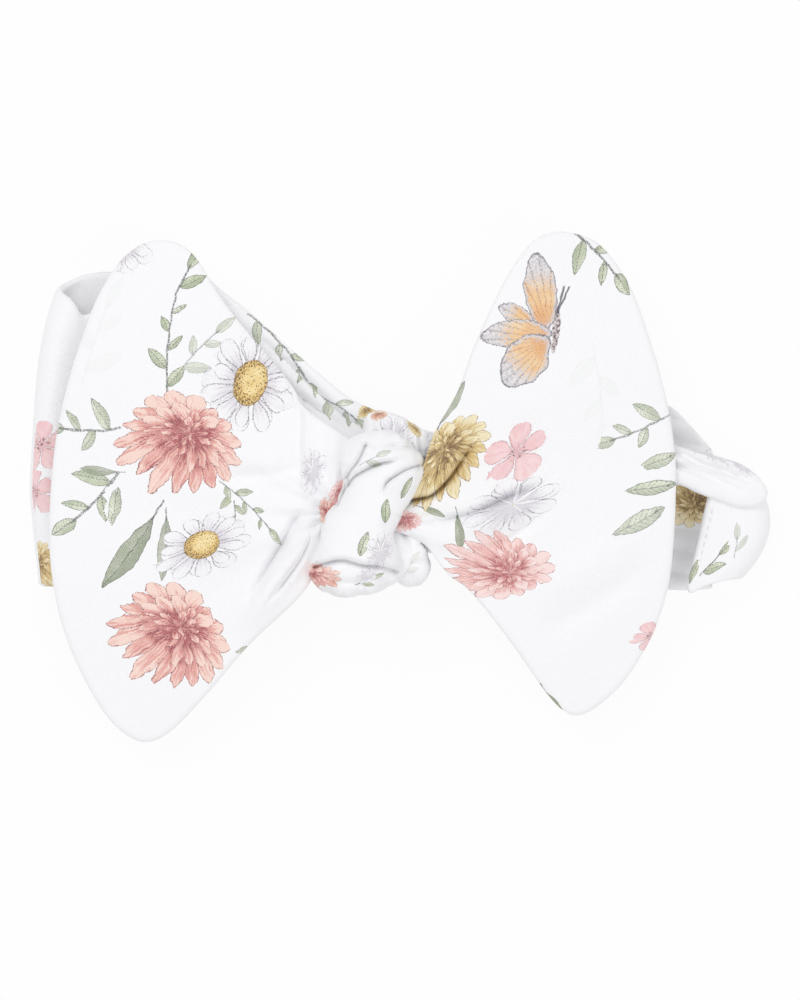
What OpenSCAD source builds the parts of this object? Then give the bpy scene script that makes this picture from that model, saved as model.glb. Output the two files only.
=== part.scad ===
// Knotted baby headband, lying on its back: one sewn strip of doubled jersey, closed into a
// loop and tied at the front, so that its two rounded ends stand out of the knot as ears.
// +X points to the right ear, +Y to the top of the ears and +Z out of the knot's front.

/* [Cloth] */
// Thickness of one ply of jersey, with its air
ply = 1.1; // [0.8:0.1:1.4]
// Running clearance between pieces that move apart
clearance = 0.3; // [0.2:0.1:0.6]

/* [Loop] */
// Overall width of the flattened loop
loop_w = 175; // [150:1:215]
// Height of the band at its wide left end
band_h = 67; // [55:1:80]
// Height of the band at its right end
right_end_h = 26; // [20:1:32]
// Height of the back half behind the knot
nape_h = 36; // [30:1:42]
// Distance from the knot's axis down to the band's lower edge
band_drop = 24; // [20:1:28]
// Free height inside the flattened loop
loop_gap = 7; // [5:0.5:10]
// Lean of the left fold line, towards the knot at its top
fold_lean = 4.5; // [0:0.5:7]

/* [Knot] */
// Width of the knot, and its thickness from front to back
knot_w = 24; // [20:1:28]
// Height of the knot
knot_h = 36; // [30:1:44]
// Width of the strands that run through the knot
core_w = 16; // [12:1:20]
// Thickness of the strands that run through the knot
core_t = 8; // [6:1:10]

/* [Ears] */
// Overall height of the ears
ear_h = 120; // [100:1:140]
// Reach of the left ear past its root
left_reach = 58; // [48:1:66]
// Reach of the right ear past its root
right_reach = 54; // [44:1:62]
// Height of the middle of an ear's tip above the front strands
tip_rise = 4.2; // [3.5:0.1:6]
// Radius that the ears droop to, top and bottom
camber_r = 400; // [300:10:800]
// Width of the seam allowance between an ear's plies
seam_w = 4; // [2:0.5:7]

/* [Stitches] */
// Number of closing stitches at the band's sewn end
stitch_count = 8; // [4:1:10]
// Thread diameter
thread_d = 0.6; // [0.4:0.1:0.8]

/* [Hidden] */

CLOTH = "#f7f6f8";
LINING = "#ecebef";
SEAM = "#d9d7de";
THREAD = "#b9b4bf";
BIG = 400;          // larger than anything it cuts
touch = 0.05;       // gap that is left where two curved faces lie against each other
CURVE_STEPS = 6;    // straight pieces between two points of a smooth outline
EGG_STEPS = 14;     // straight pieces from pole to pole of a rounded knot part

// Heights, from the table up
band_t = 2 * ply;
front_z = band_t + loop_gap;
front_top = front_z + band_t;
fold_r = front_top / 2;
knot_lift = 0.3;
knot_z = front_z + knot_lift + knot_w / 2;
ear_t = 3 * ply;
root_z = knot_z + 0.5;

// Places across the width
fold_x = loop_w / 2 - fold_r;
knot_x = -6.5;
knot_y = knot_h / 2 - band_drop + 0.5;
band_top = band_h - band_drop;
right_top = right_end_h - band_drop + 1;
nape_top = nape_h - band_drop;
fold_shift = band_h * tan(fold_lean);
left_root_x = knot_x - knot_w / 2 - 3;
right_root_x = knot_x + knot_w / 2 + 2.5;
root_len = 3;
neck_gap = ear_t / 2 + clearance;
camber_y = ear_h / 12;

// Slope of an ear down from its root, in degrees, so that its tip lies above the strands
function ear_tilt(reach) = asin((root_z - front_top - tip_rise) / (reach + root_len));

// Outlines of the ears, as shares of the reach and of half the height, from the lower corner
// of the root round the tip to the upper corner
LEFT_EAR = [
    [0, -0.44], [0.19, -0.62], [0.49, -0.94], [0.59, -1.0], [0.775, -0.89], [0.96, -0.52], [1.0, -0.17],
    [0.94, 0.38], [0.80, 0.77], [0.57, 0.97], [0.33, 0.79], [0.19, 0.60], [0, 0.375]
];
RIGHT_EAR = [
    [0, -0.33], [0.10, -0.40], [0.28, -0.60], [0.515, -0.87], [0.58, -0.89], [0.78, -0.76], [0.95, -0.44],
    [1.0, -0.05], [0.96, 0.28], [0.88, 0.58], [0.73, 0.88], [0.54, 1.0], [0.36, 0.95], [0.25, 0.81],
    [0.12, 0.56], [0, 0.34]
];
SEAM_CENTRE = 0.5;  // share of the reach about which the seam allowance's inner edge is drawn

function bend(a, b, c, d, t) = 0.5 * (
    2 * b + (c - a) * t + (2 * a - 5 * b + 4 * c - d) * t * t + (3 * b - a - 3 * c + d) * t * t * t
);

// Smooth open curve through the points of an outline
function smooth(p) = concat(
    [for (i = [0 : len(p) - 2], s = [0 : CURVE_STEPS - 1])
        bend(p[max(i - 1, 0)], p[i], p[i + 1], p[min(i + 2, len(p) - 1)], s / CURVE_STEPS)],
    [p[len(p) - 1]]
);

function ear_outline(shape, reach, side) = [
    for (q = smooth(shape)) [side * q[0] * reach, q[1] * ear_h / 2]
];

// ---- Loop -------------------------------------------------------------------------------

function left_fold_line() = [[-fold_x, -band_drop], [-fold_x + fold_shift, band_top]];

function back_outline() = concat(
    left_fold_line(),
    [
        [-fold_x + fold_shift + 8, band_top + 6], [-loop_w * 0.27, band_top + 5],
        [-loop_w * 0.15, band_top * 0.72], [knot_x, nape_top], [loop_w * 0.10, nape_top - 1],
        [loop_w * 0.37, nape_top + 6], [fold_x, right_top], [fold_x, right_top - right_end_h]
    ]
);

module flat_ply(outline, low, high) {
    translate([0, 0, low]) linear_extrude(high - low) polygon(outline);
}

module back_outer_ply() { color(CLOTH) flat_ply(back_outline(), 0, ply); }

module back_inner_ply() { color(LINING) flat_ply(back_outline(), ply, band_t); }

// One ply of a fold: a half tube that opens towards +X, between two radii
module fold_ply(inner, outer, length) {
    rotate([90, 0, 0]) translate([0, 0, -length]) linear_extrude(length) difference() {
        circle(r = outer, $fn = 64);
        circle(r = inner, $fn = 64);
        translate([0, -BIG / 2]) square(BIG);
    }
}

module place_left_fold() {
    translate([-fold_x - clearance, -band_drop, fold_r]) rotate([0, 0, -fold_lean]) children();
}

module place_right_fold() {
    translate([fold_x + clearance, right_top, fold_r]) rotate([0, 0, 180]) children();
}

module outer_fold_ply(length) {
    color(CLOTH) fold_ply(fold_r - ply, fold_r - clearance / 2, length);
}

module inner_fold_ply(length) {
    color(LINING) fold_ply(fold_r - band_t + clearance / 2, fold_r - ply, length);
}

module left_fold_outer_ply() { place_left_fold() outer_fold_ply(band_h / cos(fold_lean)); }

module left_fold_inner_ply() { place_left_fold() inner_fold_ply(band_h / cos(fold_lean)); }

module right_fold_outer_ply() { place_right_fold() outer_fold_ply(right_end_h); }

module right_fold_inner_ply() { place_right_fold() inner_fold_ply(right_end_h); }

// ---- Front strands ----------------------------------------------------------------------

module left_strand() {
    outline = concat(left_fold_line(), [
        [-loop_w * 0.35, band_top + 5], [-loop_w * 0.27, band_top + 5],
        [knot_x, nape_top + 5], [knot_x, -8], [-loop_w * 0.29, 2 - band_drop]
    ]);
    color(CLOTH) difference() {
        flat_ply(outline, front_z, front_top);
        knot_form(clearance);
        back_wrap_form(clearance);
    }
}

module right_strand() {
    outline = [
        [knot_x, -8], [loop_w * 0.23, -6], [flare_x(0), flare_top()],
        [fold_x, flare_top()], [fold_x, right_top], [loop_w * 0.36, 8], [loop_w * 0.23, 11], [knot_x, 9]
    ];
    color(CLOTH) difference() {
        flat_ply(outline, front_z, front_top);
        knot_form(clearance);
        back_wrap_form(clearance);
        lower_lobe_form(clearance);
    }
}

// Sewn end of the band, which spreads out below the right strand
function flare_top() = -2.5;
function flare_x(share) = fold_x - 9 - 5 * share;

module right_flare() {
    foot = right_top - right_end_h;
    outline = [[flare_x(0), flare_top()], [flare_x(1), foot - 1], [fold_x, foot], [fold_x, flare_top()]];
    color(CLOTH) flat_ply(outline, front_z, front_top);
}

// Bunched cloth on a strand: half a cone that grows towards the knot
module gather(from, to, from_r, to_r) {
    run = to - from;
    translate([from[0], from[1], front_top]) rotate([0, 0, atan2(run[1], run[0])])
        intersection() {
            rotate([0, 90, 0]) cylinder(h = norm(run), r1 = from_r, r2 = to_r, $fn = 48);
            translate([0, -BIG / 2, 0]) cube(BIG);
        }
}

module left_gather() {
    color(CLOTH) difference() {
        gather([-loop_w * 0.25, 28], [knot_x - 2, 4], 3, 6.5);
        knot_form(clearance);
        back_wrap_form(clearance);
    }
}

module right_gather() {
    color(CLOTH) difference() {
        gather([loop_w * 0.23, 3], [knot_x + 2, 2], 3, 6);
        knot_form(clearance);
        back_wrap_form(clearance);
    }
}

module closing_stitches() {
    foot = right_top - right_end_h;
    start = [flare_x(0) + 2, flare_top() - 1.5];
    end = [flare_x(1) + 2, foot + 1];
    run = end - start;
    pitch = norm(run) / stitch_count;
    color(THREAD)
        for (i = [0 : stitch_count - 1])
            translate([start[0], start[1], front_top + thread_d / 2])
                rotate([0, 0, atan2(run[1], run[0])]) translate([(i + 0.2) * pitch, 0, 0])
                    rotate([0, 90, 0]) cylinder(h = 0.6 * pitch, d = thread_d, $fn = 24);
}

// ---- Knot -------------------------------------------------------------------------------

// Egg-shaped solid of revolution that stands on Z, grown by a clearance
module egg(height, width, grow) {
    rotate_extrude($fn = 64) polygon([
        for (i = [0 : EGG_STEPS]) let (a = 180 * i / EGG_STEPS - 90)
            [max(0, (width / 2 + grow) * cos(a)), (height / 2 + grow) * sin(a)]
    ]);
}

module knot_form(grow) {
    translate([knot_x, knot_y, knot_z]) rotate([90, 0, 0]) egg(knot_h, knot_w, grow);
}

module back_wrap_form(grow) {
    translate([knot_x + 7, knot_y + knot_h * 0.47, knot_z - 6.5]) rotate([0, 90, 0]) egg(17, 10.4, grow);
}

module lower_lobe_form(grow) {
    translate([knot_x + 9, knot_y - knot_h * 0.40, knot_z - 7]) rotate([90, 0, 0]) egg(14, 10.6, grow);
}

module core_form(length, grow) {
    r = core_t / 2 + grow;
    translate([knot_x - length / 2, knot_y, knot_z]) rotate([90, 0, 90]) linear_extrude(length) union() {
        for (side = [-1, 1]) translate([side * (core_w - core_t) / 2, 0]) circle(r = r, $fn = 48);
        square([core_w - core_t, 2 * r], center = true);
    }
}

module knot_core_form(grow) { core_form(knot_w * 0.85 + 2 * grow, grow); }

module knot_core() { color(LINING) knot_core_form(0); }

module knot_front_wrap() {
    color(CLOTH) difference() {
        knot_form(0);
        core_form(BIG, touch);
    }
}

module knot_back_wrap() {
    color(CLOTH) difference() {
        back_wrap_form(0);
        knot_form(touch);
    }
}

module knot_lower_lobe() {
    color(CLOTH) difference() {
        lower_lobe_form(0);
        knot_form(touch);
    }
}

// Pleated cloth between the knot and an ear's root
module neck(end_x, low, high, knot_side_x) {
    outline = [[end_x, low], [end_x, high], [knot_side_x, high * 0.6], [knot_side_x, low * 0.7]];
    difference() {
        flat_ply(outline, root_z - ear_t / 2, root_z + ear_t / 2);
        knot_form(touch);
        knot_core_form(touch);
    }
}

module left_neck() {
    color(CLOTH) neck(left_root_x + neck_gap, -0.40 * ear_h / 2, 0.32 * ear_h / 2, knot_x - 4);
}

module right_neck() {
    color(CLOTH) neck(right_root_x - neck_gap, -0.31 * ear_h / 2, 0.28 * ear_h / 2, knot_x + 4);
}

// ---- Ears -------------------------------------------------------------------------------

// The space between two heights above the ears' middle surface, which droops along Y
module drooping_slab(low, high) {
    translate([0, camber_y, -camber_r]) rotate([0, 90, 0]) difference() {
        cylinder(h = BIG, r = camber_r + high, center = true, $fn = 180);
        cylinder(h = 2 * BIG, r = camber_r + low, center = true, $fn = 180);
    }
}

// Puts an ear, drawn from its root's axis, in its place
module place_ear(side) {
    root_x = side < 0 ? left_root_x : right_root_x;
    reach = side < 0 ? left_reach : right_reach;
    translate([root_x, 0, root_z]) rotate([0, side * ear_tilt(reach), 0]) children();
}

module ear_prism(shape, reach, side) {
    translate([side * root_len, 0, -BIG / 4]) linear_extrude(BIG / 2)
        polygon(ear_outline(shape, reach, side));
}

module ear_ply(shape, reach, side, low, high) {
    place_ear(side) intersection() {
        ear_prism(shape, reach, side);
        drooping_slab(low, high);
    }
}

// The seam allowance follows the edge, between the plies
module ear_seam(shape, reach, side) {
    keep = 1 - 2 * seam_w / reach;
    middle = [side * SEAM_CENTRE * reach + side * root_len, 0, 0];
    place_ear(side) intersection() {
        difference() {
            ear_prism(shape, reach, side);
            translate(middle) scale(keep) translate(-middle) ear_prism(shape, reach, side);
        }
        drooping_slab(touch - ply / 2, ply / 2 - touch);
    }
}

// Rolled cloth at the root, round the line that the ear folds about
module ear_root(shape, side) {
    low = shape[0][1] * ear_h / 2;
    high = shape[len(shape) - 1][1] * ear_h / 2;
    place_ear(side) translate([0, high, 0]) rotate([90, 0, 0]) linear_extrude(high - low) union() {
        circle(d = ear_t, $fn = 48);
        translate([side * root_len / 2, 0]) square([root_len, ear_t], center = true);
    }
}

module left_ear_front_ply() { color(CLOTH) ear_ply(LEFT_EAR, left_reach, -1, ply / 2, 1.5 * ply); }

module left_ear_back_ply() { color(LINING) ear_ply(LEFT_EAR, left_reach, -1, -1.5 * ply, -ply / 2); }

module left_ear_seam() { color(SEAM) ear_seam(LEFT_EAR, left_reach, -1); }

module left_ear_root() { color(CLOTH) ear_root(LEFT_EAR, -1); }

module right_ear_front_ply() { color(CLOTH) ear_ply(RIGHT_EAR, right_reach, 1, ply / 2, 1.5 * ply); }

module right_ear_back_ply() { color(LINING) ear_ply(RIGHT_EAR, right_reach, 1, -1.5 * ply, -ply / 2); }

module right_ear_seam() { color(SEAM) ear_seam(RIGHT_EAR, right_reach, 1); }

module right_ear_root() { color(CLOTH) ear_root(RIGHT_EAR, 1); }

back_outer_ply();
back_inner_ply();
left_fold_outer_ply();
left_fold_inner_ply();
right_fold_outer_ply();
right_fold_inner_ply();
left_strand();
right_strand();
right_flare();
left_gather();
right_gather();
closing_stitches();
knot_core();
knot_front_wrap();
knot_back_wrap();
knot_lower_lobe();
left_neck();
right_neck();
left_ear_front_ply();
left_ear_back_ply();
left_ear_seam();
left_ear_root();
right_ear_front_ply();
right_ear_back_ply();
right_ear_seam();
right_ear_root();
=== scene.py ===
"""Looks of the knotted headband: printed jersey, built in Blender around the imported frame.

Lengths in this script are in millimetres until a mesh is written, in the frame of the CAD model:
+X to the right ear, +Y to the top of the ears, +Z out of the knot's front.
"""

import math

import bpy
import numpy as np
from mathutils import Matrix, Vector
from mathutils.geometry import delaunay_2d_cdt

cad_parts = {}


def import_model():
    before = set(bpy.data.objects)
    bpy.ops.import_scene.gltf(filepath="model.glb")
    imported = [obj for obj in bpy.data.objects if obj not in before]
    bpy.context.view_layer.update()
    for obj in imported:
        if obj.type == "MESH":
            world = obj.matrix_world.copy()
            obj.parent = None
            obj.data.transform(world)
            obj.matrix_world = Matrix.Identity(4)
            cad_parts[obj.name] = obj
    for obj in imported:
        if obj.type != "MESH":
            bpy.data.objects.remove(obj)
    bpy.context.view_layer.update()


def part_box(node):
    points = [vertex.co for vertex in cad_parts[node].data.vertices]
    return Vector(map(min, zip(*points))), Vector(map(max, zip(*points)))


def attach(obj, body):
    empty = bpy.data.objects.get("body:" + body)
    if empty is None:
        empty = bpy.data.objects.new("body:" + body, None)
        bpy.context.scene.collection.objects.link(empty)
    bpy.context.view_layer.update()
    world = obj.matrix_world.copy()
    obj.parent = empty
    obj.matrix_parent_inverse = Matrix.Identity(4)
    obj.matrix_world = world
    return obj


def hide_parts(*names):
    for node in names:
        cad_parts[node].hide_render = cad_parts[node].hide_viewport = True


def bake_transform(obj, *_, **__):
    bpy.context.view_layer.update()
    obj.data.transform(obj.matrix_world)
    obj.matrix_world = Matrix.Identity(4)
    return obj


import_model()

MM = 0.001
TAU = 2 * math.pi


# ---- Places from the frame ----------------------------------------------------------------

def box_mm(node):
    low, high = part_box(node)
    return np.array(low) / MM, np.array(high) / MM


def middle_mm(node):
    low, high = box_mm(node)
    return (low + high) / 2


knot = middle_mm("knot_front_wrap")
knot_low, knot_high = box_mm("knot_front_wrap")
left_hinge = middle_mm("left_ear_root")
right_hinge = middle_mm("right_ear_root")
left_ear_x = box_mm("left_ear_front_ply")[1][0]
right_ear_x = box_mm("right_ear_front_ply")[0][0]
root_z = middle_mm("left_neck")[2]
back_z = box_mm("back_inner_ply")[0][2]
strand_low, strand_high = box_mm("left_strand")
front_z = (strand_low[2] + strand_high[2]) / 2
fold_r = (front_z - back_z) / 2
stretch_low, stretch_high = back_z + 3.6, front_z - 1.5   # what stretches as the loop opens
left_end_x = box_mm("left_fold_outer_ply")[0][0]
right_end_x = box_mm("right_fold_outer_ply")[1][0]
left_fold_x = left_end_x + strand_high[2] / 2
right_fold_x = right_end_x - strand_high[2] / 2


# ---- Shapes in the plane ------------------------------------------------------------------

def curve_through(points, step, closed=False):
    """Catmull-Rom curve through points, with points about step apart."""
    points = np.array(points, float)
    if closed:
        padded = np.vstack([points[-1:], points, points[:2]])
    else:
        padded = np.vstack([points[:1], points, points[-1:]])
    t = np.linspace(0, 1, 24, endpoint=False)[:, None]
    parts = []
    for a, b, c, d in zip(padded, padded[1:], padded[2:], padded[3:]):
        parts.append(0.5 * (2 * b + (c - a) * t + (2 * a - 5 * b + 4 * c - d) * t ** 2
                            + (3 * b - a - 3 * c + d) * t ** 3))
    dense = np.vstack(parts + [points[:1] if closed else points[-1:]])
    along = np.concatenate([[0], np.cumsum(np.linalg.norm(np.diff(dense, axis=0), axis=1))])
    count = max(int(along[-1] / step), 3)
    at = np.linspace(0, along[-1], count, endpoint=not closed)
    return np.stack([np.interp(at, along, column) for column in dense.T], axis=1)


def near_line(points, line):
    """Distance of each point from a line of points, the side it is on and how far along it is, 0 to 1."""
    line = np.array(line, float)
    a, run = line[:-1], np.diff(line, axis=0)
    length = np.linalg.norm(run, axis=1)
    before = np.concatenate([[0], np.cumsum(length)])
    best = np.full(len(points), 1e9)
    side = np.zeros(len(points))
    along = np.zeros(len(points))
    for start, step, size, done in zip(a, run, length, before):
        share = np.clip((points - start) @ step / size ** 2, 0, 1)
        away = points - start - share[:, None] * step
        distance = np.hypot(away[:, 0], away[:, 1])
        closer = distance < best
        best = np.where(closer, distance, best)
        turn = step[0] * away[:, 1] - step[1] * away[:, 0]
        side = np.where(closer, np.sign(turn), side)
        along = np.where(closer, (done + share * size) / before[-1], along)
    return best, side, along


def smooth(low, high, x):
    """0 below low, 1 above high and smooth between. low may be above high."""
    t = np.clip((x - low) / (high - low), 0, 1)
    return t * t * (3 - 2 * t)


def taper(along, start, end):
    """1 along a fold, falling to 0 over its first and last shares, where these aren't 0."""
    rise = smooth(0, start, along) if start else 1
    fall = 1 - smooth(1 - end, 1, along) if end else 1
    return rise * fall


def ridge(points, line, width, height, start=0.3, end=0.3):
    """Soft roll of cloth along a line. A negative height is a valley."""
    distance, _, along = near_line(points, curve_through(line, 1.0))
    return height * taper(along, start, end) * np.exp(-(distance / width) ** 2)


def lip(points, line, reach, height, edge=0.35, start=0.3, end=0.3):
    """Cloth that overlaps along a line: it stands up on the line's left and fades away from it."""
    distance, side, along = near_line(points, curve_through(line, 1.0))
    signed = distance * side
    jump = 0.5 + 0.5 * np.tanh(signed / edge)
    over = jump * np.exp(-np.clip(signed, 0, None) / reach)
    under = (1 - jump) * np.exp(-np.clip(-signed, 0, None) / (reach * 0.5))
    return height * taper(along, start, end) * (over - 0.5 * under)


def inside(points, outline):
    """Which points lie inside a closed outline."""
    x, y = points[:, 0:1], points[:, 1:2]
    x0, y0 = outline[:, 0], outline[:, 1]
    x1, y1 = np.roll(x0, -1), np.roll(y0, -1)
    spans = (y0 > y) != (y1 > y)
    height = np.where(y1 == y0, 1, y1 - y0)
    crossing = spans & (x < (x1 - x0) * (y - y0) / height + x0)
    return crossing.sum(axis=1) % 2 == 1


def rim_distance(points, outline):
    return near_line(points, np.vstack([outline, outline[:1]]))[0]


RIM_ROWS = (0.12, 0.4, 0.85, 1.4)             # rows of points inside a rim, by their distance from it
SHARP_ROWS = (-0.7, -0.35, 0.0, 0.35, 0.7)    # rows of points beside a sharp fold


def tile(outline, spacing, sharp=()):
    """Even triangles inside a closed outline, finer along the sharp lines: points, triangles, and each
    point's distance from the rim."""
    ahead = np.roll(outline, -1, axis=0) - np.roll(outline, 1, axis=0)
    normal = np.stack([-ahead[:, 1], ahead[:, 0]], axis=1)
    normal /= np.linalg.norm(normal, axis=1)[:, None]
    following = np.roll(outline, -1, axis=0)
    area = 0.5 * np.sum(outline[:, 0] * following[:, 1] - outline[:, 1] * following[:, 0])
    rows = []
    for depth in RIM_ROWS:
        row = outline + math.copysign(depth, area) * normal
        rows.append(row[inside(row, outline) & (rim_distance(row, outline) > 0.9 * depth)])
    inner = np.zeros((0, 2))
    for line in sharp:
        curve = curve_through(line, 0.3)
        run = np.gradient(curve, axis=0)
        across = np.stack([-run[:, 1], run[:, 0]], axis=1) / np.linalg.norm(run, axis=1)[:, None]
        for shift in SHARP_ROWS:
            row = curve + shift * across
            if len(inner):
                row = row[np.min(np.linalg.norm(row[:, None] - inner[None], axis=2), axis=1) > 0.15]
            inner = np.vstack([inner, row])
    if len(inner):
        inner = inner[inside(inner, outline)]
        inner = inner[rim_distance(inner, outline) > RIM_ROWS[-1] + 0.2]
        rows.append(inner)
    low, high = outline.min(axis=0), outline.max(axis=0)
    lines = np.arange(low[1], high[1], spacing * 0.866)
    grid = []
    for i, y in enumerate(lines):
        x = np.arange(low[0] + 0.5 * spacing * (i % 2), high[0], spacing)
        grid.append(np.stack([x, np.full(len(x), y)], axis=1))
    grid = np.vstack(grid)
    grid = grid[inside(grid, outline)]
    grid = grid[rim_distance(grid, outline) > RIM_ROWS[-1] + 0.6 * spacing]
    for line in sharp:
        grid = grid[near_line(grid, curve_through(line, 0.6))[0] > SHARP_ROWS[-1] + 0.4 * spacing]
    points = np.vstack([outline] + rows + [grid])
    loop = list(range(len(outline)))
    found = delaunay_2d_cdt([Vector(p) for p in points], [], [loop], 1, 1e-7)
    points = np.array([tuple(v) for v in found[0]])
    triangles = np.array(found[2])
    distance = rim_distance(points, outline)
    distance[distance < 1e-4] = 0
    return points, triangles, distance


def inflate(triangles, distance):
    """How far a skin over the tiles blows up, from 0 at the rim to 1 where it is highest."""
    pairs = np.vstack([triangles[:, [0, 1]], triangles[:, [1, 2]], triangles[:, [2, 0]]])
    a = np.concatenate([pairs[:, 0], pairs[:, 1]])
    b = np.concatenate([pairs[:, 1], pairs[:, 0]])
    count = len(distance)
    free = distance > 0
    degree = np.bincount(a, minlength=count)

    def stiffness(h):
        return np.where(free, degree * h - np.bincount(a, weights=h[b], minlength=count), 0)

    height = np.zeros(count)
    rest = np.where(free, 1.0, 0.0)
    way = rest.copy()
    energy = rest @ rest
    for _ in range(400):
        pull = stiffness(way)
        step = energy / (way @ pull)
        height += step * way
        rest -= step * pull
        left = rest @ rest
        if left < 1e-10:
            break
        way = rest + left / energy * way
        energy = left
    return np.sqrt(np.clip(height, 0, None) / height.max())


# ---- Meshes -------------------------------------------------------------------------------

def new_piece(name, points, faces):
    """A smooth mesh object from points in millimetres and lists of their places in each face."""
    mesh = bpy.data.meshes.new(name)
    mesh.from_pydata((np.array(points) * MM).tolist(), [], faces)
    mesh.polygons.foreach_set("use_smooth", [True] * len(mesh.polygons))
    mesh.update()
    piece = bpy.data.objects.new(name, mesh)
    bpy.context.scene.collection.objects.link(piece)
    return piece


def closed_plate(name, points, triangles, distance, top, bottom):
    """Two skins over the same tiles, joined at the rim. top and bottom are heights, equal at the rim."""
    count = len(points)
    rim = distance == 0
    under = np.arange(count)
    under[~rim] = count + np.arange((~rim).sum())
    upper = np.column_stack([points, top])
    lower = np.column_stack([points, bottom])[~rim]
    a, b, c = points[triangles[:, 0]], points[triangles[:, 1]], points[triangles[:, 2]]
    turn = np.cross(b - a, c - a)
    up = np.where((turn > 0)[:, None], triangles, triangles[:, ::-1])
    faces = np.vstack([up, under[up[:, ::-1]]])
    return new_piece(name, np.vstack([upper, lower]), faces.tolist())


def round_rim(distance, radius):
    """Share of the full thickness at each distance from a rounded rim."""
    inner = np.clip(1 - distance / radius, 0, 1)
    return np.sqrt(1 - inner ** 2)


def corners(piece):
    """Each face corner's vertex, its place in millimetres, its face and whether its face looks up."""
    mesh = piece.data
    co = np.zeros(len(mesh.vertices) * 3)
    mesh.vertices.foreach_get("co", co)
    co = co.reshape(-1, 3) / MM
    vertex = np.zeros(len(mesh.loops), int)
    mesh.loops.foreach_get("vertex_index", vertex)
    sizes = np.zeros(len(mesh.polygons), int)
    mesh.polygons.foreach_get("loop_total", sizes)
    face = np.repeat(np.arange(len(sizes)), sizes)
    normals = np.zeros(len(mesh.polygons) * 3)
    mesh.polygons.foreach_get("normal", normals)
    return vertex, co[vertex], face, normals.reshape(-1, 3)[face, 2] > 0


# ---- Where the print lies -----------------------------------------------------------------

# A print is a table of motifs by kind. Each row has x, y, size, width, turn in degrees and tone. x and y
# are the middle of a flower or butterfly, or the foot of a stem, in millimetres of flat cloth. Size and
# width are radii there, and factors for a sprig or a blade. A sprig's tone is its count of leaf pitches,
# and any fraction fades it.
KINDS = ("bloom", "daisy", "posy", "butterfly", "sprig", "blade")
SPRIG_PITCH = 9.0
BLADE_LENGTH = 26.0
FAR = (9.0, 9.0, 0.0)
MARGIN = 1.2       # how far a motif's cloth reaches, where 1 is the edge of what it may paint
UNDERSIDE = 40.0   # sets the cloth's texture on the underside apart from the top's


def painted_box(kind, tone):
    """What a motif may paint, in its own units: the middle's x, half the length and half the height."""
    if kind == "sprig":
        reach = math.floor(tone) * SPRIG_PITCH / 2 + 5
        return reach - 3, reach + 2, 9
    if kind == "blade":
        return BLADE_LENGTH / 2, BLADE_LENGTH / 2 + 2, 5
    return 0, 1.15, 1.15


def keep_on_corners(piece, name, vectors):
    """Keeps a vector for each face corner, under a name that the shader reads."""
    field = piece.data.attributes.new(name, "FLOAT_VECTOR", "CORNER")
    field.data.foreach_set("vector", vectors.astype(np.float32).ravel())


def stamp(piece, flat, face, upper, above, below=None, bare=False):
    """Writes on each face corner its place in the nearest motif of each kind, for the print's shader.
    flat is each corner's place on the flat cloth. The print above goes on the upper corners and the one
    below on the others, and no motif reaches the bare corners."""
    count = np.bincount(face)
    for kind in KINDS:
        values = np.tile(np.array(FAR), (len(flat), 1))
        nearest = np.full(len(flat), MARGIN)
        rows = [(upper, row) for row in above.get(kind, [])]
        rows += [(~upper, row) for row in (below or {}).get(kind, [])]
        for side, (at_x, at_y, size, wide, turn, tone) in rows:
            away = flat - np.array((at_x, at_y))
            c, s = math.cos(math.radians(turn)), math.sin(math.radians(turn))
            x = (away[:, 0] * c + away[:, 1] * s) / size
            y = (away[:, 1] * c - away[:, 0] * s) / wide
            middle, half_long, half_high = painted_box(kind, tone)
            off = np.maximum(np.abs(x - middle) / half_long, np.abs(y) / half_high)
            off = (np.bincount(face, weights=off) / count)[face]
            chosen = (off < nearest) & side & np.logical_not(bare)
            nearest = np.where(chosen, off, nearest)
            values[chosen] = np.column_stack([x, y, np.full(len(x), tone)])[chosen]
        keep_on_corners(piece, kind, values)
    keep_on_corners(piece, "cloth", np.column_stack([flat, np.where(upper, 0.0, UNDERSIDE)]))


def print_from_above(piece, origin, above, below):
    """Stamps a piece that lies flat: its flat cloth is what is seen from above, measured from origin."""
    _, place, face, upper = corners(piece)
    stamp(piece, place[:, :2] - origin, face, upper, above, below)



# ---- Shader graph -------------------------------------------------------------------------

def linear(red, green, blue):
    """The linear colour of a 0 to 255 display colour."""
    values = [c / 255 for c in (red, green, blue)]
    return [c / 12.92 if c < 0.04045 else ((c + 0.055) / 1.055) ** 2.4 for c in values] + [1]


class Field:
    """A number that the shader works out at each point of the surface."""

    def __init__(self, graph, socket):
        self.graph = graph
        self.socket = socket

    def __add__(self, other):
        return self.graph.math("ADD", self, other)

    __radd__ = __add__

    def __sub__(self, other):
        return self.graph.math("SUBTRACT", self, other)

    def __rsub__(self, other):
        return self.graph.math("SUBTRACT", other, self)

    def __mul__(self, other):
        return self.graph.math("MULTIPLY", self, other)

    __rmul__ = __mul__

    def __truediv__(self, other):
        return self.graph.math("DIVIDE", self, other)

    def __pow__(self, other):
        return self.graph.math("POWER", self, other)


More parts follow.
